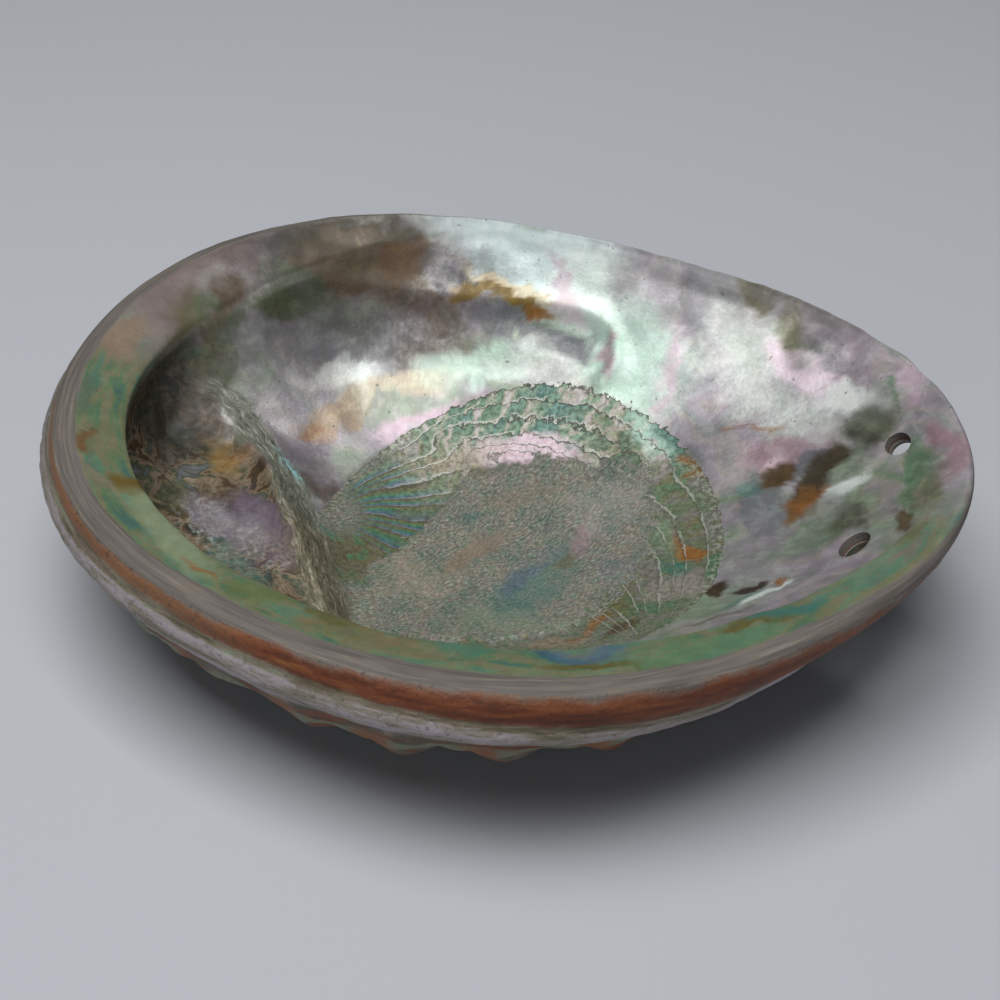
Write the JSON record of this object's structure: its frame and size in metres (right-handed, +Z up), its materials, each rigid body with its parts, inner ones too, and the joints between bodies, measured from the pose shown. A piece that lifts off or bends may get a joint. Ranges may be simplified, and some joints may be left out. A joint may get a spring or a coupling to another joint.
{
  "type": "abalone shell",
  "caption": "Polished abalone shell lying on its back as an open bowl, with a pearly inside, a thick inner lip, a coiled end and breathing holes.",
  "frame": {"origin": "on the surface the shell rests on, under the middle of its bounding box", "axes": "+X along the shell towards the growing end with the open holes, +Y towards the thin outer lip, +Z up out of the bowl"},
  "size_m": [0.1862, 0.1418, 0.0474],
  "materials": {
    "nacre": "polished mother of pearl, silver with green, pink and lavender; brick red and cream bands outside"
  },
  "bodies": {
    "root": {"abalone_shell": "nacre"}
  },
  "joints": []
}
